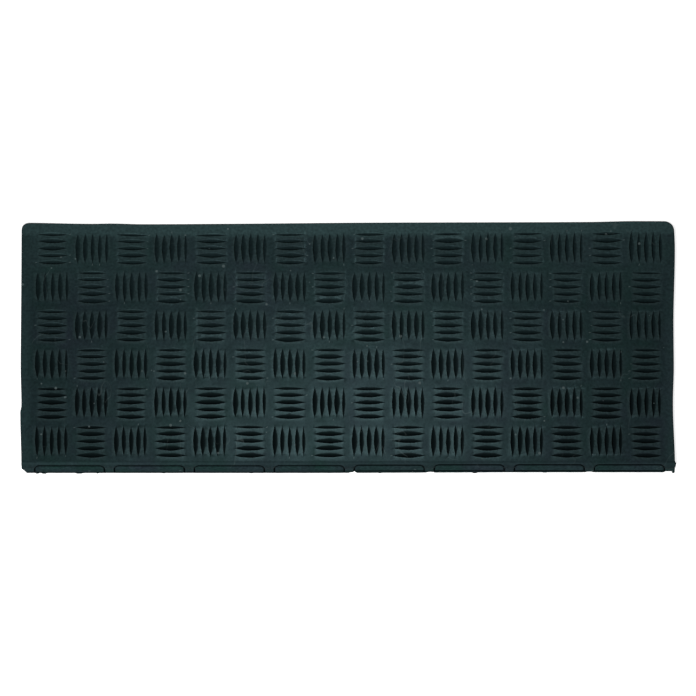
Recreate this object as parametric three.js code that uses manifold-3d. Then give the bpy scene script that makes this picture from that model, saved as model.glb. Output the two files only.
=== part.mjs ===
// Stair-tread mat of moulded rubber: a chequered tread sheet that lies on the step, a rounded nose
// round the step's edge, a lip that hangs down in front of it, and eight grip pads on the lip.
// The chequer is groups of five lens-shaped grooves, pointed at both ends.
//
// Millimetres. Z = 0 is the sheet's underside, which lies on the step. X runs along the step's edge
// and +Y points to the back of the step. The origin is the middle of the sheet's underside, and the
// nose and lip are at the -Y side.

import * as THREE from 'three';
import { ConvexGeometry } from 'three/addons/geometries/ConvexGeometry.js';
import { mergeVertices } from 'three/addons/utils/BufferGeometryUtils.js';
import Module from 'manifold-3d';

const wasm = await Module();
wasm.setup();

// The whole mat
const width = 650;
const depth = 250;
const sheetThickness = 5;
const backCornerRadius = 8;

// Nose and lip
const noseRadius = 7;
const lipDrop = 25; // from the sheet's top face to the lip's lower edge

// Small nicks in the lip's lower edge, where moulding gates were torn off
const nickRadius = 4.2;
const nickCentreOut = 1.8; // how far a nick's centre is in front of the lip
const nickPlaces = [5, 82, 240]; // along X

// Tread pattern: groups of parallel grooves, turned a quarter from each group to the next
const columns = 16;
const rows = 6;
const groupPitch = 39.4;
const patternShiftX = 1.5; // the pattern sits a little to the +X side of the sheet's middle
const patternShiftY = 0.6;
const groovesPerGroup = 5;
const groovePitch = 7.33;
const grooveLength = 33;
const grooveWidth = 4.6;
const grooveDepth = 1.9;
const thinGroove = 0.68; // width of each group's last groove, as a share of the others'

// Grip pads on the nose and lip
const padCount = 8;
const padPitch = 79.5;
const padShift = 1.5; // the pads sit a little to the +X side of the lip's middle
const padWidth = 68;
const padDepth = 1.2;
const padCornerRadius = 4;
const padStartAngle = 48; // degrees round the nose from its top to the pad's upper edge
const padMargin = 1.6; // width of the groove round a pad
const curveClearance = 0.3; // between a pad and the curved floor of its pocket

// Worked out
const frontY = -depth / 2;
const backY = depth / 2;
const noseCentreY = frontY + noseRadius;
const noseCentreZ = sheetThickness - noseRadius;
const lipBottomZ = sheetThickness - lipDrop;
const padStart = THREE.MathUtils.degToRad(padStartAngle);
const padTopZ = noseCentreZ + noseRadius * Math.cos(padStart);

// ---- solids -----------------------------------------------------------------------------------

function toSolid(geometry) {
  const bare = geometry.clone();
  bare.deleteAttribute('normal');
  bare.deleteAttribute('uv');
  const merged = mergeVertices(bare, 1e-4);
  const mesh = new wasm.Mesh({
    numProp: 3,
    vertProperties: new Float32Array(merged.attributes.position.array),
    triVerts: new Uint32Array(merged.index.array),
  });
  return new wasm.Manifold(mesh);
}

function toGeometry(solid) {
  const { vertProperties, triVerts } = solid.getMesh();
  const geometry = new THREE.BufferGeometry();
  geometry.setAttribute('position', new THREE.BufferAttribute(vertProperties, 3));
  geometry.setIndex(new THREE.BufferAttribute(triVerts, 1));
  geometry.computeVertexNormals();
  return geometry;
}

// An outline drawn in Y and Z, swept along X between two places.
function sweepAlongX(outline, fromX, toX) {
  const geometry = new THREE.ExtrudeGeometry(outline, {
    depth: toX - fromX,
    bevelEnabled: false,
    curveSegments: 10,
  });
  const alongY = new THREE.Vector3(0, 1, 0);
  const alongZ = new THREE.Vector3(0, 0, 1);
  const alongX = new THREE.Vector3(1, 0, 0);
  geometry.applyMatrix4(new THREE.Matrix4().makeBasis(alongY, alongZ, alongX));
  geometry.translate(fromX, 0, 0);
  return toSolid(geometry);
}

// ---- tread sheet and its grooves --------------------------------------------------------------

function flatSheet() {
  const outline = new THREE.Shape();
  const side = width / 2;
  const corner = backCornerRadius;
  outline.moveTo(-side, noseCentreY);
  outline.lineTo(side, noseCentreY);
  outline.absarc(side - corner, backY - corner, corner, 0, Math.PI / 2);
  outline.absarc(-side + corner, backY - corner, corner, Math.PI / 2, Math.PI);
  outline.closePath();
  const geometry = new THREE.ExtrudeGeometry(outline, {
    depth: sheetThickness,
    bevelEnabled: false,
    curveSegments: 6,
  });
  return toSolid(geometry);
}

// What is cut away for one groove along X in a face at Z = 0: a V-shaped trough under a lens-shaped
// mouth, with straight sides above the face.
function grooveCutter(mouthWidth) {
  const tip = grooveLength / 2;
  const shoulder = 0.36; // where the mouth turns in to its tips, as a share of half the length
  const shoulderHalfWidth = (mouthWidth / 2) * (1 - shoulder * shoulder);
  const above = 1;
  const points = [];
  for (const end of [-1, 1]) {
    for (const z of [0, above]) {
      points.push(new THREE.Vector3(end * tip, 0, z));
      points.push(new THREE.Vector3(end * shoulder * tip, shoulderHalfWidth, z));
      points.push(new THREE.Vector3(end * shoulder * tip, -shoulderHalfWidth, z));
    }
    points.push(new THREE.Vector3(end * shoulder * tip, 0, -grooveDepth));
  }
  return new ConvexGeometry(points);
}

// One group of grooves along X, round the origin. The last groove, on the +Y side, is the thin one,
// and keeps its inner edge where the others have theirs.
function grooveGroup() {
  const thinWidth = grooveWidth * thinGroove;
  const cutters = [];
  for (let k = 0; k < groovesPerGroup; k += 1) {
    const across = (k - (groovesPerGroup - 1) / 2) * groovePitch;
    const isLast = k === groovesPerGroup - 1;
    const shift = isLast ? (thinWidth - grooveWidth) / 2 : 0;
    cutters.push(grooveCutter(isLast ? thinWidth : grooveWidth).translate(0, across + shift, 0));
  }
  return cutters;
}

function treadSheet() {
  const group = grooveGroup();
  let sheet = flatSheet();
  for (let row = 0; row < rows; row += 1) {
    for (let column = 0; column < columns; column += 1) {
      const groupX = patternShiftX + (column - (columns - 1) / 2) * groupPitch;
      const groupY = patternShiftY + ((rows - 1) / 2 - row) * groupPitch;
      const alongDepth = (row + column) % 2 === 1;
      for (const cutter of group) {
        const placed = cutter.clone();
        if (alongDepth) {
          placed.rotateZ(-Math.PI / 2);
        }
        placed.translate(groupX, groupY, sheetThickness);
        sheet = sheet.subtract(toSolid(placed));
      }
    }
  }
  return sheet;
}

// ---- nose, lip and grip pads ------------------------------------------------------------------

function noseBend() {
  const outline = new THREE.Shape();
  outline.moveTo(noseCentreY, sheetThickness);
  outline.absarc(noseCentreY, noseCentreZ, noseRadius, Math.PI / 2, Math.PI);
  outline.lineTo(frontY + sheetThickness, noseCentreZ);
  const innerRadius = noseRadius - sheetThickness;
  outline.absarc(noseCentreY, noseCentreZ, innerRadius, Math.PI, Math.PI / 2, true);
  outline.closePath();
  return sweepAlongX(outline, -width / 2, width / 2);
}

function plainLip() {
  const outline = new THREE.Shape();
  outline.moveTo(frontY, noseCentreZ);
  outline.lineTo(frontY, lipBottomZ);
  outline.lineTo(frontY + sheetThickness, lipBottomZ);
  outline.lineTo(frontY + sheetThickness, noseCentreZ);
  outline.closePath();
  return sweepAlongX(outline, -width / 2, width / 2);
}

// The layer under the nose's and lip's outer face, from a depth inside it to a reach outside it.
function frontLayer(inside, outside, bottomZ) {
  const outline = new THREE.Shape();
  const outerRadius = noseRadius + outside;
  const innerRadius = noseRadius - inside;
  outline.moveTo(noseCentreY, noseCentreZ + outerRadius);
  outline.absarc(noseCentreY, noseCentreZ, outerRadius, Math.PI / 2, Math.PI);
  outline.lineTo(frontY - outside, bottomZ);
  outline.lineTo(frontY + inside, bottomZ);
  outline.lineTo(frontY + inside, noseCentreZ);
  outline.absarc(noseCentreY, noseCentreZ, innerRadius, Math.PI, Math.PI / 2, true);
  outline.closePath();
  return sweepAlongX(outline, -width / 2, width / 2);
}

// A pad's arch seen from the front, grown by a margin all round, as a prism through the lip.
function arch(centreX, margin, bottomZ) {
  const halfWidth = padWidth / 2 + margin;
  const top = padTopZ + margin;
  const corner = padCornerRadius + margin;
  const outline = new THREE.Shape();
  outline.moveTo(centreX - halfWidth, bottomZ);
  outline.lineTo(centreX + halfWidth, bottomZ);
  outline.absarc(centreX + halfWidth - corner, top - corner, corner, 0, Math.PI / 2);
  outline.absarc(centreX - halfWidth + corner, top - corner, corner, Math.PI / 2, Math.PI);
  outline.closePath();
  const prismDepth = 2 * noseRadius;
  const geometry = new THREE.ExtrudeGeometry(outline, {
    depth: prismDepth,
    bevelEnabled: false,
    curveSegments: 5,
  });
  geometry.rotateX(Math.PI / 2);
  geometry.translate(0, frontY - noseRadius + prismDepth, 0);
  return toSolid(geometry);
}

function withNicks(lip) {
  let cut = lip;
  for (const place of nickPlaces) {
    const ball = new THREE.SphereGeometry(nickRadius, 16, 12);
    ball.translate(place, frontY - nickCentreOut, lipBottomZ);
    cut = cut.subtract(toSolid(ball));
  }
  return cut;
}

function padCentreX(index) {
  return padShift + (index - (padCount - 1) / 2) * padPitch;
}

function pad(index) {
  return frontLayer(padDepth, 0, lipBottomZ).intersect(arch(padCentreX(index), 0, lipBottomZ));
}

// Cuts the eight pockets, which are open at the lip's lower edge.
function withPockets(solid, pocketDepth) {
  const below = lipBottomZ - 1;
  const layer = frontLayer(pocketDepth, 1, below);
  let cut = solid;
  for (let index = 0; index < padCount; index += 1) {
    cut = cut.subtract(layer.intersect(arch(padCentreX(index), padMargin, below)));
  }
  return cut;
}

// ---- the mat ----------------------------------------------------------------------------------

const mat = new THREE.Group();

function addPiece(name, solid, colour, roughness) {
  const material = new THREE.MeshStandardMaterial({ color: colour, roughness, metalness: 0 });
  const mesh = new THREE.Mesh(toGeometry(solid), material);
  mesh.name = name;
  mat.add(mesh);
}

addPiece('tread_sheet', treadSheet(), 0x1d2a2b, 0.55);
addPiece('nosing_bend', withPockets(noseBend(), padDepth + curveClearance), 0x1c2829, 0.55);
addPiece('nosing_lip', withNicks(withPockets(plainLip(), padDepth)), 0x1b2728, 0.6);
for (let index = 0; index < padCount; index += 1) {
  addPiece(`nosing_pad_${index + 1}`, pad(index), 0x1f2b2c, 0.5);
}

export default mat;
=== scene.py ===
# Looks for the stair-tread door mat: moulded rubber with a chequered tread, a rounded nose and a
# lip with grip pads. Lengths in the shape code are millimetres in the part's own frame, and MM
# turns them into the scene's metres. The stage and the materials are written in metres.

import math
import random

import bpy
import numpy as np
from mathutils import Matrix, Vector


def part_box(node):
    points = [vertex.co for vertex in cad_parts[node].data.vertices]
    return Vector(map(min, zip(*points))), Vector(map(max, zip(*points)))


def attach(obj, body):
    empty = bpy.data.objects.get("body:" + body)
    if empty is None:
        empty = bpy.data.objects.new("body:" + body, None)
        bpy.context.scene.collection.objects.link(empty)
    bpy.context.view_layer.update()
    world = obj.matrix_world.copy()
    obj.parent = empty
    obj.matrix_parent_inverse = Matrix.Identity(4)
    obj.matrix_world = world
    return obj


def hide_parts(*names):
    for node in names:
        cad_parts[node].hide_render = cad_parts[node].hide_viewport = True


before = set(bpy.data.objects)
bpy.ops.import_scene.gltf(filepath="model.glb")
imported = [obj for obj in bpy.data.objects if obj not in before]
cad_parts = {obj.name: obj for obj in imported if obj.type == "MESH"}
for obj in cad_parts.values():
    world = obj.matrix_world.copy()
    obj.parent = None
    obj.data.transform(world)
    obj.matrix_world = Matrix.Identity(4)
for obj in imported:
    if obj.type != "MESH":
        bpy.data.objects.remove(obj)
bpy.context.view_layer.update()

MM = 0.001

# ---- sizes ------------------------------------------------------------------------------------


def node_box(name):
    """A node's lowest and highest corner in millimetres."""
    low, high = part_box(name)
    return np.array(low) / MM, np.array(high) / MM


sheet_low, sheet_high = node_box("tread_sheet")
bend_low, _ = node_box("nosing_bend")
lip_low, _ = node_box("nosing_lip")
pad_names = sorted(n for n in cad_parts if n.startswith("nosing_pad_"))

HALF_WIDTH = sheet_high[0]
BACK_Y = sheet_high[1]
SHEET_FRONT_Y = sheet_low[1]  # where the flat sheet meets the nose
THICKNESS = sheet_high[2]
FRONT_Y = bend_low[1]
NOSE_RADIUS = SHEET_FRONT_Y - FRONT_Y
NOSE_Z = bend_low[2]  # height of the nose's centre line
LIP_BOTTOM = lip_low[2]
NOSE_ARC = NOSE_RADIUS * math.pi / 2
LIP_HEIGHT = NOSE_Z - LIP_BOTTOM
NOSE_END = NOSE_ARC + LIP_HEIGHT  # along the nose and lip, from the flat sheet to the lower edge
TURNED_DOWN = NOSE_ARC * 0.8  # way along the nose to where it has all but turned down

# Tread pattern, in the part's layout. Only the slip between its rows is added here.
COLUMNS = 16
ROWS = 6
GROUP_PITCH = 39.4
PATTERN_SHIFT_X = 1.5
PATTERN_SHIFT_Y = 0.6
ROW_SLIP = 0.15  # how far each row of groups lies to the left of the row behind it
GROOVES = 5
GROOVE_PITCH = 7.33
GROOVE_LENGTH = 33.0
GROOVE_WIDTH = 4.6
GROOVE_DEPTH = 1.9
THIN_GROOVE = 0.68  # width of each group's last groove, as a share of the others'
TOP_EDGE_RADIUS = 1.0  # rounding of the tread's top edge and of the nose's and lip's ends
CORNER_RADIUS = {-1: 7.5, 1: 9.5}  # left and right back corners

# Angles round a rounded edge at which its mesh lines lie
TOP_EDGE_TURNS = np.radians([44, 90])
PAD_EDGE_TURNS = np.radians([45, 90])
END_TURNS = np.radians([30, 60, 90])

# Nose, lip and grip pads
PAD_DEPTH = 1.2
THINNEST = 0.05  # what a nick leaves of a pad
PAD_GAP = 1.4  # width of the groove round a pad
PAD_CORNER = 4.0  # radius of a pad's upper corners
PAD_EDGE = 0.35  # rounding of a pad's edges
PAD_TOP = 6.2  # along the nose, from the flat sheet to the left pads' upper edge
PAD_RISE = 1.3  # how much higher the right-hand pads start
CREASE_HEIGHT = 9.6  # above the lower edge, of a crease across the right-hand pads, which carries painted shade
CREASE_HALF_WIDTH = 2.5
CREASE_DEPTH = 0.35
PAD_UNEVENNESS = 0.12
LIP_ROUND = 0.9  # rounding of the lip's lower edges
LIP_TUCK = 0.7  # how far the lip's right half hangs inwards at its lower edge
NICKS = [5, 82, 240]  # places of the torn moulding gates, along X
NICK_RADIUS = 4.2
NICK_CENTRE_OUT = 1.5  # how far a nick's centre is in front of the lip

# Edges that turn by more degrees than this are shaded as edges
TREAD_SHARP = 18
NOSE_SHARP = 55

SEED = 7
rng = random.Random(SEED)

# ---- mesh helpers -----------------------------------------------------------------------------


def make_object(name, points, faces, smooth=True, sharp=None, masks=None):
    """A mesh object from points in millimetres. masks are named per-vertex numbers."""
    mesh = bpy.data.meshes.new(name)
    mesh.from_pydata((np.asarray(points) * MM).tolist(), [], faces)
    mesh.validate()
    mesh.polygons.foreach_set("use_smooth", [smooth] * len(mesh.polygons))
    for label, values in (masks or {}).items():
        layer = mesh.attributes.new(label, "FLOAT", "POINT")
        layer.data.foreach_set("value", np.asarray(values, np.float32))
    if sharp is not None:
        mark_sharp(mesh, sharp)
    mesh.update()
    piece = bpy.data.objects.new(name, mesh)
    bpy.context.scene.collection.objects.link(piece)
    return piece


def mark_sharp(mesh, degrees):
    """Edges that turn by more than this many degrees are shaded as edges."""
    mesh.set_sharp_from_angle(angle=math.radians(degrees))


def smoothstep(low, high, value):
    """0 at low and beyond it, 1 at high and beyond it, and a smooth change between them."""
    t = np.clip((np.asarray(value, float) - low) / (high - low), 0.0, 1.0)
    return t * t * (3.0 - 2.0 * t)


# ---- how the soft rubber lies -----------------------------------------------------------------


def curve_through(xs, ys):
    """A smooth curve through a few points that never swings past them, level at both ends."""
    xs, ys = np.array(xs, float), np.array(ys, float)
    rises = np.diff(ys) / np.diff(xs)
    before, after = rises[:-1], rises[1:]
    slopes = np.zeros(len(xs))
    same_way = before * after > 0
    slopes[1:-1][same_way] = (2 * before * after)[same_way] / (before + after)[same_way]

    def at(x):
        x = np.clip(np.asarray(x, float), xs[0], xs[-1])
        i = np.clip(np.searchsorted(xs, x) - 1, 0, len(xs) - 2)
        h = xs[i + 1] - xs[i]
        t = (x - xs[i]) / h
        a = (1 + 2 * t) * (1 - t) ** 2 * ys[i] + t * (1 - t) ** 2 * h * slopes[i]
        b = t * t * (3 - 2 * t) * ys[i + 1] + t * t * (t - 1) * h * slopes[i + 1]
        return a + b

    return at


# How far the trimmed edges wander from the straight, as moulded and cut by hand
back_edge = curve_through(
    [-325, -255, -235, -205, -120, 20, 240, 285, 325],
    [0.4, -0.7, -0.4, -1.1, -0.7, 0.5, 1.2, 2.1, 2.0],
)
left_edge = curve_through([-125, -68, -62, -20, 60, 125], [-0.6, 0.7, -0.4, 0.5, 0.2, 0.1])
right_edge = curve_through([-125, -60, -20, 20, 100, 125], [0.2, -1.6, -0.6, -0.8, 0.9, 0.0])

# Where each of these moves starts and where it is whole
BACK_WANDER = (95, 122)  # along Y
SIDE_WANDER = (300, 322)  # along X, to both sides
TUCK_ALONG = (-60, 200)  # along X


def settle(points):
    """Moves the ideal shape to how the limp, hand-trimmed moulding lies."""
    p = np.array(points, float)
    x, y = p[:, 0].copy(), p[:, 1].copy()
    p[:, 1] += back_edge(x) * smoothstep(*BACK_WANDER, y)
    p[:, 0] -= left_edge(y) * smoothstep(*SIDE_WANDER, -x)
    p[:, 0] += right_edge(y) * smoothstep(*SIDE_WANDER, x)
    p[:, 1] += LIP_TUCK * smoothstep(*TUCK_ALONG, x) * smoothstep(NOSE_Z, LIP_BOTTOM, p[:, 2])
    return p


# ---- tread sheet ------------------------------------------------------------------------------

HALF_CELL = GROUP_PITCH / 2
# A groove's section: places across it as shares of its half width, depths as shares of the full
# depth, and how much painted shade, and how matt, the rubber is given there. Its wall at the
# nose's side, or the left side, is the steep one, and the painted shade is fullest over it.
SECTION = [(-0.96, 0.0, 0.0), (-0.86, 0.30, 1.0), (-0.66, 1.0, 1.0),
           (-0.04, 0.80, 1.0), (0.72, 0.30, 0.70), (1.32, 0.0, 0.0)]
LENGTHWISE = 27  # steps along a groove
CELL = LENGTHWISE + 4  # steps across a whole cell, both ways
NARROWEST = 0.3  # half width that the lines keep beyond a groove's tips

# How single grooves differ. The first three are shares of the usual width, depth and length.
WIDTHS = (0.84, 1.10)
DEPTHS = (0.80, 1.08)
LENGTHS = (0.93, 1.0)
OFF_CENTRE = 0.16  # sideways
OFF_MIDDLE = 0.5  # of the widest place, along the groove
BOW = 0.4  # how far a groove leans over its length
UNEVENNESS = 0.05  # share by which the width goes up and down
THIN_DEPTH = 0.85  # depth of each group's last groove, as a share

# How worn, and how pale with a painted highlight, the rubber is beside a groove: at its steep
# wall, at its gentle wall, and at the gentle wall of a group's last groove
STEEP_WEAR_AND_HIGHLIGHT = 1.0
GENTLE_WEAR_AND_HIGHLIGHT = 0.35
OUTERMOST_WEAR_AND_HIGHLIGHT = 0.3
# How soon towards its tips a groove's painted shade is whole, and its rim fully worn and highlit
GROOVE_RISE = 3.5
RIM_RISE = 3


def cell_nodes():
    """Places of the mesh lines along a cell's border, from its middle."""
    tip = GROOVE_LENGTH / 2
    between = np.linspace(-tip, tip, LENGTHWISE + 1)
    outer = (tip + HALF_CELL) / 2
    return np.concatenate([[-HALF_CELL, -outer], between, [outer, HALF_CELL]])


def group_cell(glint_shares):
    """One group of grooves along the first axis: places along, across, depths and masks.
    glint_shares is the share of the grooves' first and last tips that carry a painted glint."""
    nodes = cell_nodes()
    count = len(nodes)
    along = np.repeat(nodes[:, None], count, axis=1)
    across, depth = np.zeros((count, count)), np.zeros((count, count))
    groove, rim, dust = np.zeros((3, count, count))
    across[:, 0] = -HALF_CELL
    across[:, -1] = HALF_CELL
    column = 1
    for k in range(GROOVES):
        width = GROOVE_WIDTH * rng.uniform(*WIDTHS)
        deepest = GROOVE_DEPTH * rng.uniform(*DEPTHS)
        centre = (k - (GROOVES - 1) / 2) * GROOVE_PITCH + rng.uniform(-OFF_CENTRE, OFF_CENTRE)
        half_length = GROOVE_LENGTH / 2 * rng.uniform(*LENGTHS)
        middle = rng.uniform(-OFF_MIDDLE, OFF_MIDDLE)
        lens = 1 - np.clip((nodes - middle) / (half_length - abs(middle)), -1, 1) ** 2
        ups_and_downs = np.sin(nodes * rng.uniform(0.25, 0.7) + rng.uniform(0, 6))
        uneven = 1 + UNEVENNESS * ups_and_downs
        if k == GROOVES - 1:
            centre -= width * (1 - THIN_GROOVE) / 2
            width *= THIN_GROOVE
            deepest *= THIN_DEPTH
        bow = rng.uniform(-BOW, BOW) * (nodes / GROOVE_LENGTH)
        half = np.maximum(width / 2 * lens * uneven, NARROWEST)
        first, last = np.flatnonzero(lens)[[0, -1]]
        glinting_tips = [rng.random() < share for share in glint_shares]
        for place, level, shade in SECTION:
            across[:, column] = centre + bow + place * half
            depth[:, column] = deepest * lens * level
            # painted shade in the groove, as strong as the section gives
            groove[:, column] = np.minimum(1, GROOVE_RISE * lens) * shade
            if level == 0:
                gentle = OUTERMOST_WEAR_AND_HIGHLIGHT if k == GROOVES - 1 else GENTLE_WEAR_AND_HIGHLIGHT
                wear_and_highlight = STEEP_WEAR_AND_HIGHLIGHT if place < 0 else gentle
                rim[:, column] = np.minimum(1, RIM_RISE * lens) * wear_and_highlight
            elif level > 0.5:
                # painted glints just beyond some groove tips
                dust[[first - 1, last + 1], column] = glinting_tips
            column += 1
    spread = smoothstep(GROOVE_LENGTH / 2, HALF_CELL, np.abs(nodes))[:, None]
    across = across * (1 - spread) + nodes[None, :] * spread
    return along, across, depth, groove, rim, dust


def tip_glint_shares(row, col, lengthwise):
    """Shares of a group's first and last groove tips that carry a painted glint: mostly the left
    tips at the back right, and the right tips at the back left, the tips that face the mat's
    middle."""
    if not lengthwise:
        return (0.10, 0.04)
    if row < 3 and col > 8:
        return (0.55, 0.06)
    if row < 2 and col < 4:
        return (0.05, 0.45)
    return (0.12, 0.05)


# Painted light on the edges: distances from the edge where it starts and is whole, and how pale it
# makes them
BACK_MARGIN = (17.5, 9.5)
SIDE_MARGIN = (14, 4)
SIDE_PALENESS = 0.3
CORNER_PALENESS = 0.36  # of the wide area of painted light towards the back corners


def margin_painted_light(x, y):
    """How much painted light pales the sheet towards its edges, from 0 to 1."""
    margin = smoothstep(BACK_Y - BACK_MARGIN[0], BACK_Y - BACK_MARGIN[1], y)
    side = smoothstep(HALF_WIDTH - SIDE_MARGIN[0], HALF_WIDTH - SIDE_MARGIN[1], np.abs(x))
    towards_corners = smoothstep(20, HALF_WIDTH, np.abs(x)) * smoothstep(30, BACK_Y - 25, y)
    return np.maximum.reduce([margin, SIDE_PALENESS * side, CORNER_PALENESS * towards_corners])


def tread_sheet():
    first_x = PATTERN_SHIFT_X - COLUMNS * HALF_CELL
    last_x = PATTERN_SHIFT_X + COLUMNS * HALF_CELL
    last_y = PATTERN_SHIFT_Y + ROWS * HALF_CELL
    side = HALF_WIDTH - TOP_EDGE_RADIUS
    left = np.linspace(-side, first_x, 4)[:-1]
    right = np.linspace(last_x, side, 3)[1:]
    back = np.linspace(last_y, BACK_Y - TOP_EDGE_RADIUS, 4)[1:]
    inner_x = COLUMNS * CELL + 1
    inner_y = ROWS * CELL + 1
    nx, ny = len(left) + inner_x + len(right), inner_y + len(back)
    grids = np.zeros((6, nx, ny))
    x, y, depth, groove, rim, dust = grids
    for row in range(ROWS):
        for col in range(COLUMNS):
            lengthwise = (row + col) % 2 == 0
            along, across, *others = group_cell(tip_glint_shares(row, col, lengthwise))
            if not lengthwise:
                along, across = across.T, along.T
                others = [values.T for values in others]
            i0 = len(left) + col * CELL
            j0 = (ROWS - 1 - row) * CELL
            place = np.s_[i0 : i0 + CELL + 1, j0 : j0 + CELL + 1]
            slip = ROW_SLIP * ((ROWS - 1) / 2 - row)
            x[place] = along + PATTERN_SHIFT_X + slip + (col - (COLUMNS - 1) / 2) * GROUP_PITCH
            y[place] = across + PATTERN_SHIFT_Y + ((ROWS - 1) / 2 - row) * GROUP_PITCH
            for grid, values in zip((depth, groove, rim, dust), others):
                grid[place] = values
    i1 = len(left) + inner_x
    x[: len(left), :inner_y] = left[:, None]
    x[i1:, :inner_y] = right[:, None]
    y[: len(left), :inner_y] = y[len(left), :inner_y]
    y[i1:, :inner_y] = y[i1 - 1, :inner_y]
    x[:, inner_y:] = x[:, inner_y - 1][:, None]
    y[:, inner_y:] = back
    margin = margin_painted_light(x, y)
    y[:, 0] = SHEET_FRONT_Y
    rings = [(math.sin(t) * TOP_EDGE_RADIUS, (1 - math.cos(t)) * TOP_EDGE_RADIUS)
             for t in TOP_EDGE_TURNS]
    rings.append((TOP_EDGE_RADIUS, THICKNESS))
    masks = [groove, rim, margin, dust]
    points, faces, masks = slab(x, y, depth, rings, (-1, 1), (0, 1), masks)
    for side, radius in CORNER_RADIUS.items():
        round_corner(points, side, side * (HALF_WIDTH - radius), BACK_Y - radius, 1)
    points[:, 2] = THICKNESS - points[:, 2]
    masks = dict(zip(("groove", "rim", "margin", "dust"), masks))
    return make_object("tread", settle(points), faces, sharp=TREAD_SHARP, masks=masks)


def slab(u, v, depth, rings, u_out, v_out, masks, full_back=False):
    """A closed slab from a grid of its top. The rings run round its edge, each some reach
    outside the grid's border and at some depth. u_out and v_out say which way each side reaches.
    The back is strips across, or with full_back a grid like the top's."""
    nx, ny = u.shape
    number = np.arange(nx * ny).reshape(nx, ny)
    points = [np.stack([u.ravel(), v.ravel(), depth.ravel()], 1)]
    quads = [grid_quads(number)]
    loop = [(i, 0) for i in range(nx)]
    loop += [(nx - 1, j) for j in range(1, ny)]
    loop += [(i, ny - 1) for i in range(nx - 2, -1, -1)]
    loop += [(0, j) for j in range(ny - 2, 0, -1)]
    i, j = np.array(loop).T
    out = np.zeros((len(loop), 2))
    out[:, 0] = np.where(i == 0, u_out[0], np.where(i == nx - 1, u_out[1], 0))
    out[:, 1] = np.where(j == 0, v_out[0], np.where(j == ny - 1, v_out[1], 0))
    border = np.stack([u[i, j], v[i, j]], 1)
    ring = number[i, j]
    total = nx * ny
    for reach, level in rings:
        points.append(np.column_stack([border + out * reach, np.full(len(loop), level)]))
        following = np.arange(total, total + len(loop))
        quads.append(np.stack([ring, following, np.roll(following, -1), np.roll(ring, -1)], 1))
        ring = following
        total += len(loop)
    faces = np.concatenate(quads).tolist()
    back = np.zeros((nx, ny), int)
    back[i, j] = ring
    if full_back:
        inner = back[1:-1, 1:-1]
        inner[...] = np.arange(total, total + inner.size).reshape(inner.shape)
        level = np.full(inner.size, rings[-1][1])
        points.append(np.column_stack([u[1:-1, 1:-1].ravel(), v[1:-1, 1:-1].ravel(), level]))
        faces += grid_quads(back)[:, ::-1].tolist()
    else:
        for k in range(nx - 1):
            near, far = [k + 1, k], [k, k + 1]
            face = back[near, 0].tolist()
            face += back[0, 1:-1].tolist() if k == 0 else []
            face += back[far, -1].tolist()
            face += back[-1, -2:0:-1].tolist() if k == nx - 2 else []
            faces.append(face)
    points = np.concatenate(points)
    masks = [np.concatenate([m.ravel(), np.zeros(len(points) - m.size)]) for m in masks]
    return points, faces, masks


def grid_quads(number):
    """The four-sided faces of a grid of numbered points."""
    a, b = number[:-1, :-1].ravel(), number[1:, :-1].ravel()
    c, d = number[1:, 1:].ravel(), number[:-1, 1:].ravel()
    return np.stack([a, b, c, d], 1)


def round_corner(points, side, centre_u, centre_v, v_side):
    """Bends a square corner of an outline into an arc round its centre."""
    away = points[:, :2] - (centre_u, centre_v)
    inside = (away[:, 0] * side > 0) & (away[:, 1] * v_side > 0)
    length = np.linalg.norm(away[inside], axis=1)
    square = np.abs(away[inside]).max(axis=1)
    points[inside, :2] = (centre_u, centre_v) + away[inside] * (square / length)[:, None]


# ---- nose, lip and grip pads ------------------------------------------------------------------


def on_nose(points):
    """Points in X, the way along the nose and lip, and depth into the rubber, as X, Y and Z."""
    x, way, depth = np.asarray(points, float).T
    angle = np.minimum(way, NOSE_ARC) / NOSE_RADIUS
    below = np.maximum(way - NOSE_ARC, 0)
    radius = NOSE_RADIUS - depth
    y = SHEET_FRONT_Y - radius * np.sin(angle)
    z = NOSE_Z + radius * np.cos(angle) - below
    return np.stack([x, y, z], 1)


def pad_span(name):
    """The middle and half width of a grip pad."""
    low, high = node_box(name)
    return (low[0] + high[0]) / 2, (high[0] - low[0]) / 2


pad_spans = [pad_span(name) for name in pad_names]


def pad_top(middle):
    """Way along the nose to a pad's upper edge."""
    return PAD_TOP - PAD_RISE * smoothstep(-100, 150, middle)


def beyond_pocket(x, way):
    """Distance from the nearest pocket's edge, negative inside it."""
    nearest = np.full(np.broadcast(x, way).shape, np.inf)
    corner = PAD_CORNER + PAD_GAP
    for middle, half in pad_spans:
        across = np.abs(x - middle) - (half + PAD_GAP - corner)
        above = (pad_top(middle) - PAD_GAP + corner) - way
        outside = np.hypot(np.maximum(across, 0), np.maximum(above, 0))
        distance = outside + np.minimum(np.maximum(across, above), 0) - corner
        nearest = np.minimum(nearest, distance)
    return nearest


POCKET_EDGE = 0.3  # half the width of a pocket's sloping edge
UNDER_PAD = 0.6  # how far the rubber that closes a gap reaches under the pad
GAP_RUN_OUT = (3.2, 0.8)  # heights above the lower edge between which a gap gets shallower


def pocket(x, way):
    """Depth of the pockets that the pads sit in. The gap round a pad runs out to nothing at the
    lip's lower edge."""
    distance = beyond_pocket(x, way)
    inside = 1 - smoothstep(-POCKET_EDGE, POCKET_EDGE, distance)
    in_gap = smoothstep(-PAD_GAP - UNDER_PAD, -PAD_GAP, distance)
    run_out = smoothstep(NOSE_END - GAP_RUN_OUT[0], NOSE_END - GAP_RUN_OUT[1], way)
    return PAD_DEPTH * inside * (1 - in_gap * run_out)


def nick(x, way):
    """Depth of the nicks in the lip's lower edge."""
    depth = np.zeros(np.broadcast(x, way).shape)
    for place in NICKS:
        reach = NICK_RADIUS**2 - (x - place) ** 2 - (way - NOSE_END) ** 2
        depth = np.maximum(depth, np.sqrt(np.maximum(reach, 0)) - NICK_CENTRE_OUT)
    return depth


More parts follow.
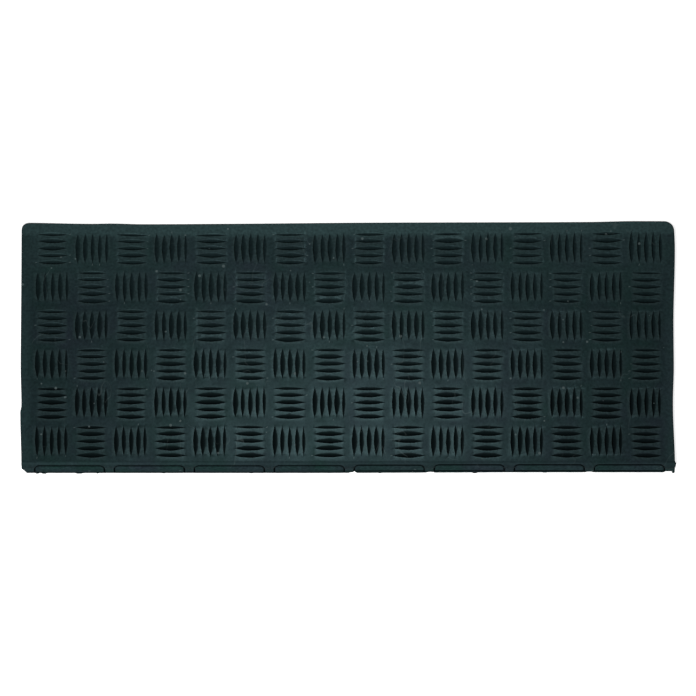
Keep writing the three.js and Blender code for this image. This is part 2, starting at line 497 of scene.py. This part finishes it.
# Flash left along the lip's lower edge: place along X, half width, how far it stands out
FLASH = [(-309, 1.8, 0.8), (-302, 2.6, 0.9), (-267, 3.6, 0.8), (-249, 1.2, 0.6), (-183, 1.6, 0.4),
         (-96, 2.0, 0.35), (32, 1.6, 0.35), (126.5, 2.4, 0.9), (196, 2.2, 0.4), (324, 1.6, 0.9)]
FLASH_RISE = (2.2, 0.6)  # heights above the lower edge between which flash grows
LEAST_FLASH = 0.05


def flash(x, way):
    """How far the flash stands out of the lip, square to its face."""
    out = np.zeros(np.broadcast(x, way).shape)
    for place, half, height in FLASH:
        out += height * np.exp(-((x - place) / half) ** 4)
    return out * smoothstep(NOSE_END - FLASH_RISE[0], NOSE_END - FLASH_RISE[1], way)


# The ragged bite out of the lip's lower right end
BITE_DEPTH = 2.5
BITE_START = (313.5, 318.5)  # places along X between which it gets deeper
BITE_END = (321.4, 322.4)  # and shallower
BITE_HEIGHT = (6.5, 3.0)  # heights above the lower edge between which it gets deeper


def torn_end(x, way):
    """Depth of the bite."""
    bite = smoothstep(*BITE_START, x) * (1 - smoothstep(*BITE_END, x))
    ragged = 1 + 0.12 * np.sin(x * 3.1) + 0.08 * np.sin(x * 7.3 + 1)
    low_down = smoothstep(NOSE_END - BITE_HEIGHT[0], NOSE_END - BITE_HEIGHT[1], way)
    return BITE_DEPTH * bite * ragged * low_down


def outer_depth(x, way):
    """How deep the nose's and lip's outer face lies at a place."""
    cut = np.maximum(np.maximum(pocket(x, way), nick(x, way)), torn_end(x, way))
    proud = flash(x, way)
    return np.where(proud > LEAST_FLASH, -proud, cut)


def down_the_lip(way):
    """From 0 on the top of the nose to 1 on the upright lip."""
    return smoothstep(0, TURNED_DOWN, way)


def grime(way):
    """How much painted shade darkens the lip: from 0 at its top to 1 at its lower edge."""
    return np.clip((way - TURNED_DOWN) / (NOSE_END - TURNED_DOWN), 0, 1)


NOSE_LINES = 1201  # mesh lines across the nose and lip, between their rounded ends


def nose_nodes_x():
    """Places of the mesh lines across the nose, with the rounded ends' steps, and how far the
    rounding lies inside the full thickness there."""
    straight = HALF_WIDTH - TOP_EDGE_RADIUS
    inner = np.linspace(-straight, straight, NOSE_LINES)
    end = straight + TOP_EDGE_RADIUS * np.sin(END_TURNS)
    inset = TOP_EDGE_RADIUS * (1 - np.cos(END_TURNS))
    x = np.concatenate([-end[::-1], inner, end])
    shrink = np.concatenate([inset[::-1], np.zeros(len(inner)), inset])
    return x, shrink


SLANT = 4.6  # how far in the lip's left end is cut at the lower edge
SLANT_CURVE = 0.8  # below 1, so that it falls away fastest at its top
SLANT_ALONG = (310, 325)  # distances left of the middle between which the slant grows
NIB = 1.3  # how far the nib stands out
NIB_WAY = 3.5  # way along the nose to its middle
NIB_HALF_WIDTH = 2.2
NIB_ALONG = (320, 325)


def cut_end(x, way):
    """Slants the lip's left end inwards towards its lower edge, as it was trimmed, and leaves a
    nib of flash on the nose's right end."""
    lower = np.clip((way - NOSE_ARC) / LIP_HEIGHT, 0, 1)
    slant = SLANT * lower**SLANT_CURVE * smoothstep(*SLANT_ALONG, -x)
    nib = NIB * np.exp(-(((way - NIB_WAY) / NIB_HALF_WIDTH) ** 2)) * smoothstep(*NIB_ALONG, x)
    return x + slant + nib


# Painted shade in the gaps round the pads
GAP_PAINTED_SHADE = 0.85
GAP_EDGE = (0.1, -0.3)  # distances beyond a pocket's edge between which the gap's painted shade grows
OUTER_LAYER = 2.0  # depth down to which the pockets' painted shade reaches


def sweep(name, outer_way, bottom, inner_way):
    """A closed strip of the nose or lip. outer_way is the mesh lines' ways along the outer face,
    inner_way along the inner face, and bottom holds the shares of the thickness and the ways of
    what lies between them."""
    x, shrink = nose_nodes_x()
    rows = []
    for way in outer_way:
        face = outer_depth(x, way)
        depth = np.where(face < 0, face + shrink, np.maximum(face, shrink))
        rows.append((x, np.full_like(x, way), depth))
    last_depth = rows[-1][2]
    for share, way in bottom:
        rows.append((x, np.full_like(x, way), last_depth + (THICKNESS - last_depth) * share))
    for way in inner_way:
        rows.append((x, np.full_like(x, way), THICKNESS - shrink))
    section = np.array(rows)
    count, nx = len(rows), len(x)
    flat = section.transpose(2, 0, 1).reshape(-1, 3)
    flat[:, 0] = cut_end(flat[:, 0], flat[:, 1])
    number = np.arange(nx * count).reshape(nx, count)
    wrapped = np.concatenate([number, number[:, :1]], axis=1)
    faces = grid_quads(wrapped)[:, ::-1].tolist()
    faces.append(number[0][::-1].tolist())
    faces.append(number[-1].tolist())
    across, way, depth = flat.T
    in_pocket = smoothstep(*GAP_EDGE, beyond_pocket(across, way)) * (depth < OUTER_LAYER)
    # the pads' gaps carry painted shade, and the lip painted shade towards its lower edge
    masks = {"groove": GAP_PAINTED_SHADE * in_pocket, "low": down_the_lip(way), "grime": grime(way)}
    return make_object(name, settle(on_nose(flat)), faces, sharp=NOSE_SHARP, masks=masks)


def nosing_bend():
    outer = np.linspace(0, NOSE_ARC, 31)
    inner = np.linspace(NOSE_ARC, 0, 13)
    return sweep("bend", outer, [], inner)


def nosing_lip():
    straight = np.linspace(NOSE_ARC, NOSE_END - LIP_ROUND, 30)
    # round the lower edge: shares of the thickness, and ways to the very bottom
    size = LIP_ROUND / THICKNESS
    bottom = [(size * (1 - math.cos(t)), NOSE_END - LIP_ROUND * (1 - math.sin(t)))
              for t in END_TURNS]
    bottom += [(1 - share, way) for share, way in reversed(bottom)]
    inner = np.linspace(NOSE_END - LIP_ROUND, NOSE_ARC, 12)
    return sweep("lip", straight, bottom, inner)


# Distances of the mesh lines near a pad's edge from where its rounding starts, and how many more
# lines lie between them, across the pad and down it
PAD_EDGE_LINES = np.array([0, 0.5, 1.2, 2.2, 3.6])
PAD_LINES_ACROSS = 19
PAD_LINES_DOWN = 26
PAD_EDGE_DROP = 0.02  # how far below the pad's face its rounding starts
CREASED_PADS = (-60, 110)  # places along X between which the crease gets deeper


def grip_pad(name):
    """One pad, as a closed slab bent round the nose and down the lip."""
    middle, half = pad_span(name)
    side = half - PAD_EDGE
    inner = np.linspace(-side + 6, side - 6, PAD_LINES_ACROSS)
    across = np.concatenate([-side + PAD_EDGE_LINES, inner, side - PAD_EDGE_LINES[::-1]])
    top, bottom = pad_top(middle) + PAD_EDGE, NOSE_END - PAD_EDGE
    lower = np.linspace(top + 5, bottom, PAD_LINES_DOWN)
    ways = np.concatenate([top + PAD_EDGE_LINES, lower])
    u, v = np.meshgrid(across + middle, ways, indexing="ij")
    uneven = PAD_UNEVENNESS * np.sin(u * 0.13 + middle) * np.sin(v * 0.4)
    above_crease = v - NOSE_END + CREASE_HEIGHT
    crease = np.exp(-((above_crease / CREASE_HALF_WIDTH) ** 4)) * smoothstep(*CREASED_PADS, u)
    depth = np.abs(uneven) + CREASE_DEPTH * crease
    rings = [(math.sin(t) * PAD_EDGE, (1 - math.cos(t)) * PAD_EDGE + PAD_EDGE_DROP)
             for t in PAD_EDGE_TURNS]
    rings.append((PAD_EDGE, PAD_DEPTH))
    points, faces, masks = slab(u, v, depth, rings, (-1, 1), (-1, 1), [crease], full_back=True)
    corner_way = pad_top(middle) + PAD_CORNER
    for side in (-1, 1):
        round_corner(points, side, middle + side * (half - PAD_CORNER), corner_way, -1)
    front = points[:, 2] < PAD_DEPTH
    x, way, depth = points[front].T
    cut = np.maximum(nick(x, way), torn_end(x, way))
    points[front, 2] = np.clip(cut, depth, PAD_DEPTH - THINNEST)
    points[:, 0] = cut_end(points[:, 0], points[:, 1])
    faces = [face[::-1] for face in faces]
    way = points[:, 1]
    # the crease carries painted shade, and the lip's lower part painted shade
    masks = {"groove": masks[0], "low": down_the_lip(way), "grime": grime(way)}
    piece_name = name.replace("nosing_", "")
    return make_object(piece_name, settle(on_nose(points)), faces, sharp=NOSE_SHARP, masks=masks)


# ---- materials --------------------------------------------------------------------------------

RUBBER = (0.0062, 0.0126, 0.0135)
# worn rims: smoother, and painted paler as a highlight
WORN_AND_HIGHLIT_RUBBER = (0.0158, 0.0272, 0.0284)
PAD_RUBBER = (0.0108, 0.0212, 0.0222)
LIT_MARGIN_COLOUR = (0.0200, 0.0390, 0.0400)  # painted light on the sheet's margin behind the pattern
# painted shade: near black, for the grooves, the pads' gaps and crease, and the lip's lower part
SHADE_COLOUR = (0.0001, 0.0005, 0.0006)
# the grooves' painted shade towards the back, paler
BACK_GROOVE_SHADE_COLOUR = (0.0034, 0.0074, 0.0080)
# pale colour of the dust, and of the painted glints at groove tips
DUST_AND_GLINT_COLOUR = (0.10, 0.13, 0.13)
LIP_LOWER_SHADE = 0.4  # how much painted shade darkens the lip at its lower edge

# What the base colour is multiplied by in patches
GREEN_TINT = (0.70, 1.10, 0.87)
VIOLET_TINT = (1.30, 0.88, 1.16)
BLOTCH_PALENESS = 1.45
BLOTCH_SHARE = 0.4

# How much of the pale colour shows in each mark: scuffs, specks, painted glints at tips, dust bits
SCRATCH_SHARE = 0.16
SPECK_SHARE = 0.45
TIP_SHARE = 0.75
BIT_SHARE = 0.7

SPECULAR_TINT = (0.55, 0.94, 1.0, 1)
MATT = 1.0  # roughness of the grooves and the lip
DUST_ROUGHNESS = 0.95
RIM_POLISH = 0.10  # how much less rough the worn rims are
TOWARDS_BACK_SPAN = (-0.06, 0.08)  # metres along Y between which the grooves' painted shade gets paler and dust bits get more


class Nodes:
    """Short ways to make and join the nodes of one material."""

    def __init__(self, material):
        material.use_nodes = True
        self.tree = material.node_tree
        self.shader = self.tree.nodes["Principled BSDF"]

    def add(self, kind, **settings):
        node = self.tree.nodes.new("ShaderNode" + kind)
        for label, value in settings.items():
            setattr(node, label, value)
        return node

    def join(self, output, socket):
        """Links an output to an input."""
        self.tree.links.new(output, socket)

    def mask(self, label):
        """One of the mesh's own per-vertex numbers."""
        return self.add("Attribute", attribute_name=label).outputs["Fac"]

    def place(self, scale=(1, 1, 1)):
        """Places in the object's own metres, stretched."""
        mapping = self.add("Mapping")
        mapping.inputs["Scale"].default_value = scale
        self.join(self.add("TexCoord").outputs["Object"], mapping.inputs["Vector"])
        return mapping.outputs["Vector"]

    def axis(self, label):
        """One coordinate of a place, in the object's own metres."""
        parts = self.add("SeparateXYZ")
        self.join(self.add("TexCoord").outputs["Object"], parts.inputs["Vector"])
        return parts.outputs[label]

    def noise(self, per_metre, detail, stretch=(1, 1, 1)):
        noise = self.add("TexNoise")
        noise.inputs["Scale"].default_value = per_metre
        noise.inputs["Detail"].default_value = detail
        self.join(self.place(stretch), noise.inputs["Vector"])
        return noise.outputs["Fac"]

    def ramp(self, value, low, high, to_low=0.0, to_high=1.0):
        """Takes low..high to to_low..to_high and holds it there."""
        node = self.add("MapRange")
        self.join(value, node.inputs["Value"])
        for label, number in zip(("From Min", "From Max", "To Min", "To Max"),
                                 (low, high, to_low, to_high)):
            node.inputs[label].default_value = number
        return node.outputs["Result"]

    def math(self, operation, *values):
        node = self.add("Math", operation=operation)
        for socket, value in zip(node.inputs, values):
            if isinstance(value, (int, float)):
                socket.default_value = value
            else:
                self.join(value, socket)
        return node.outputs["Value"]

    def mix(self, share, first, second):
        """Mixes two colours or numbers: first where share is 0, second where it is 1."""
        colours = any(isinstance(value, tuple) or getattr(value, "type", "") in ("RGBA", "VECTOR")
                      for value in (first, second))
        node = self.add("Mix", data_type="RGBA" if colours else "FLOAT")
        at = 6 if colours else 2
        sockets = (node.inputs[0], node.inputs[at], node.inputs[at + 1])
        for socket, value in zip(sockets, (share, first, second)):
            if isinstance(value, tuple):
                socket.default_value = (*value, 1)
            elif isinstance(value, (int, float)):
                socket.default_value = value
            else:
                self.join(value, socket)
        return node.outputs[2 if colours else 0]

    def scale(self, colour, factor):
        """A colour made darker or paler."""
        node = self.add("VectorMath", operation="SCALE")
        self.join(colour, node.inputs[0])
        self.join(factor, node.inputs["Scale"])
        return node.outputs["Vector"]

    def bump(self, height, distance, strength, under=None):
        node = self.add("Bump")
        node.inputs["Distance"].default_value = distance
        node.inputs["Strength"].default_value = strength
        self.join(height, node.inputs["Height"])
        if under is not None:
            self.join(under, node.inputs["Normal"])
        return node.outputs["Normal"]


def specks(nodes, per_metre, size, share):
    """A mask of small pale specks: one in some of the cells of a scattered pattern."""
    cells = nodes.add("TexVoronoi", feature="F1", voronoi_dimensions="3D")
    cells.inputs["Scale"].default_value = per_metre
    nodes.join(nodes.place(), cells.inputs["Vector"])
    parts = nodes.add("SeparateColor")
    nodes.join(cells.outputs["Color"], parts.inputs["Color"])
    chosen = nodes.math("LESS_THAN", parts.outputs["Red"], share)
    radius = nodes.math("MULTIPLY", parts.outputs["Green"], size)
    near = nodes.math("LESS_THAN", cells.outputs["Distance"], radius)
    return nodes.math("MULTIPLY", chosen, near)


def scratches(nodes):
    """A mask of thin curved scuffs: the level lines of a cloudy pattern, broken up by another."""
    cloudy = nodes.noise(38, detail=1.5, stretch=(1.0, 0.45, 1.0))
    level = nodes.math("SUBTRACT", cloudy, 0.5)
    line = nodes.ramp(nodes.math("ABSOLUTE", level), 0.0018, 0.0048, 1.0, 0.0)
    present = nodes.ramp(nodes.noise(24, detail=2), 0.54, 0.62)
    return nodes.math("MULTIPLY", line, present)


def rubber(name, base, roughness, specular):
    """Black-green moulded rubber. Its raised faces are worn smoother than its grooves, and their
    rims are painted paler as a highlight. The grooves, the gaps round the pads and the pads'
    crease are matt and carry painted shade, as the lip's lower part does; the margin carries
    painted light, some groove tips carry painted glints, and a little pale dust lies on it."""
    material = bpy.data.materials.new(name)
    nodes = Nodes(material)
    shader = nodes.shader
    groove, rim = nodes.mask("groove"), nodes.mask("rim")

    clouds = nodes.ramp(nodes.noise(9, detail=4), 0.35, 0.65)
    blotches = nodes.ramp(nodes.noise(70, detail=5), 0.35, 0.68)
    tints = nodes.ramp(nodes.noise(26, detail=2), 0.38, 0.62)
    mottled = nodes.ramp(nodes.noise(380, detail=3), 0.36, 0.64, 0.78, 1.22)
    green = tuple(c * k for c, k in zip(base, GREEN_TINT))
    violet = tuple(c * k for c, k in zip(base, VIOLET_TINT))
    paler = tuple(c * BLOTCH_PALENESS for c in base)
    colour = nodes.mix(nodes.mix(0.5, clouds, tints), green, violet)
    colour = nodes.mix(nodes.math("MULTIPLY", blotches, BLOTCH_SHARE), colour, paler)
    # the rims: worn, and painted paler as a highlight
    colour = nodes.mix(rim, colour, WORN_AND_HIGHLIT_RUBBER)
    # painted light on the margin and edges
    colour = nodes.mix(nodes.mask("margin"), colour, LIT_MARGIN_COLOUR)
    # painted shade, darker down the lip towards its lower edge
    lip_shade = nodes.math("MULTIPLY", nodes.mask("grime"), LIP_LOWER_SHADE)
    colour = nodes.mix(lip_shade, colour, SHADE_COLOUR)

    # the grooves' painted shade is deeper near the nose and paler towards the back
    towards_back = nodes.ramp(nodes.axis("Y"), *TOWARDS_BACK_SPAN)
    groove = nodes.math("POWER", groove, nodes.ramp(towards_back, 0, 1, 0.45, 1.0))
    in_groove = nodes.mix(towards_back, SHADE_COLOUR, BACK_GROOVE_SHADE_COLOUR)
    # painted shade in the grooves, and in the pads' gaps and crease
    colour = nodes.mix(groove, colour, in_groove)
    colour = nodes.scale(colour, mottled)

    scuffs = nodes.math("MULTIPLY", scratches(nodes), SCRATCH_SHARE)
    # painted glints just beyond some groove tips
    tips = nodes.math("MULTIPLY", nodes.mask("dust"), TIP_SHARE)
    small = specks(nodes, per_metre=210, size=0.34, share=0.035)
    small = nodes.math("MULTIPLY", small, SPECK_SHARE)
    bits = specks(nodes, per_metre=75, size=0.075, share=0.05)
    bits = nodes.math("MULTIPLY", bits, BIT_SHARE)
    bits = nodes.math("MULTIPLY", bits, nodes.ramp(towards_back, 0, 0.8, 0.35, 1.0))
    for dust in (scuffs, tips, small, bits):
        colour = nodes.mix(dust, colour, DUST_AND_GLINT_COLOUR)
    nodes.join(colour, shader.inputs["Base Color"])

    rough = nodes.ramp(blotches, 0, 1, roughness + 0.05, roughness - 0.03)
    rough = nodes.mix(rim, rough, roughness - RIM_POLISH)
    rough = nodes.mix(nodes.mask("low"), rough, MATT)
    rough = nodes.mix(groove, rough, MATT)
    rough = nodes.mix(small, rough, DUST_ROUGHNESS)
    nodes.join(rough, shader.inputs["Roughness"])
    shader.inputs["Specular IOR Level"].default_value = specular
    shader.inputs["Specular Tint"].default_value = SPECULAR_TINT

    wavy = nodes.bump(nodes.noise(45, detail=3), distance=0.0012, strength=0.5)
    skin = nodes.bump(nodes.noise(320, detail=3), distance=0.0002, strength=0.6, under=wavy)
    grain = nodes.bump(nodes.noise(1100, detail=2), distance=0.00008, strength=0.7, under=skin)
    nodes.join(grain, shader.inputs["Normal"])
    return material


# ---- stage ------------------------------------------------------------------------------------

# The photograph's viewing angle, from far off through a long lens
CAMERA_ELEVATION = 77  # degrees
CAMERA_AIM = (0.0002, -0.0018, 0.0)
CAMERA_DISTANCE = 19.24
CAMERA_REACH = 100
LENS = 1000  # millimetres, as is the sensor's width
SENSOR_WIDTH = 36

WORLD_STRENGTH = 0.18

# The floor is a step: the sheet lies on its upper level and the lip hangs in front of its edge
FLOOR_EDGE_Y = -0.1195
FLOOR_REACH = 30.0
FLOOR_CLEARANCE = 0.0003  # between the mat and the floor
FLOOR_GREY = 0.85
FLOOR_GLOW = 0.75


def camera():
    data = bpy.data.cameras.new("camera")
    data.lens = LENS
    data.sensor_width = SENSOR_WIDTH
    data.clip_end = CAMERA_REACH
    cam = bpy.data.objects.new("camera", data)
    bpy.context.scene.collection.objects.link(cam)
    elevation = math.radians(CAMERA_ELEVATION)
    back = Vector((0, -math.cos(elevation), math.sin(elevation)))
    cam.location = Vector(CAMERA_AIM) + back * CAMERA_DISTANCE
    cam.rotation_mode = "QUATERNION"
    cam.rotation_quaternion = (-back).to_track_quat("-Z", "Y")
    bpy.context.scene.camera = cam


def area_light(name, place, aim, size, power):
    data = bpy.data.lights.new(name, "AREA")
    data.shape = "RECTANGLE"
    data.size, data.size_y = size
    data.energy = power
    lamp = bpy.data.objects.new(name, data)
    lamp.location = place
    direction = Vector(aim) - Vector(place)
    lamp.rotation_mode = "QUATERNION"
    lamp.rotation_quaternion = direction.to_track_quat("-Z", "Y")
    bpy.context.scene.collection.objects.link(lamp)


def soft_world():
    world = bpy.data.worlds.new("studio")
    world.use_nodes = True
    background = world.node_tree.nodes["Background"]
    background.inputs["Color"].default_value = (1, 1, 1, 1)
    background.inputs["Strength"].default_value = WORLD_STRENGTH
    bpy.context.scene.world = world
    bpy.context.scene.view_settings.view_transform = "Standard"


def stepped_floor():
    edge_y, far = FLOOR_EDGE_Y, FLOOR_REACH
    high = -FLOOR_CLEARANCE
    low = LIP_BOTTOM * MM - FLOOR_CLEARANCE
    points = [(-far, edge_y, high), (far, edge_y, high), (far, far, high), (-far, far, high),
              (-far, -far, low), (far, -far, low), (far, edge_y, low), (-far, edge_y, low)]
    faces = [(0, 1, 2, 3), (4, 5, 6, 7), (7, 6, 1, 0)]
    floor = make_object("floor", np.array(points) / MM, faces, smooth=False)
    material = bpy.data.materials.new("floor_white")
    material.use_nodes = True
    shader = material.node_tree.nodes["Principled BSDF"]
    shader.inputs["Base Color"].default_value = (FLOOR_GREY, FLOOR_GREY, FLOOR_GREY, 1)
    shader.inputs["Roughness"].default_value = 0.9
    shader.inputs["Specular IOR Level"].default_value = 0.0
    shader.inputs["Emission Color"].default_value = (1, 1, 1, 1)
    shader.inputs["Emission Strength"].default_value = FLOOR_GLOW
    material.cycles.emission_sampling = "NONE"
    floor.data.materials.append(material)


camera()
soft_world()
stepped_floor()
area_light("key", place=(-0.01, 0.045, 0.6), aim=(0, -0.09, 0), size=(0.34, 0.09), power=1.25)
area_light("front", place=(-0.5, -1.3, 1.3), aim=(0, 0, 0), size=(0.6, 0.6), power=29)

# ---- the mat ----------------------------------------------------------------------------------

sheet_rubber = rubber("tread_rubber", RUBBER, roughness=0.36, specular=0.15)
nose_rubber = rubber("nosing_rubber", RUBBER, roughness=0.40, specular=0.15)
lip_rubber = rubber("lip_rubber", PAD_RUBBER, roughness=0.60, specular=0.0)
pad_rubber = rubber("pad_rubber", PAD_RUBBER, roughness=0.60, specular=0.0)


def finish_piece(piece, node, material):
    piece.data.materials.append(material)
    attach(piece, "root")
    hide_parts(node)


finish_piece(tread_sheet(), "tread_sheet", sheet_rubber)
finish_piece(nosing_bend(), "nosing_bend", nose_rubber)
finish_piece(nosing_lip(), "nosing_lip", lip_rubber)
for pad_name in pad_names:
    finish_piece(grip_pad(pad_name), pad_name, pad_rubber)
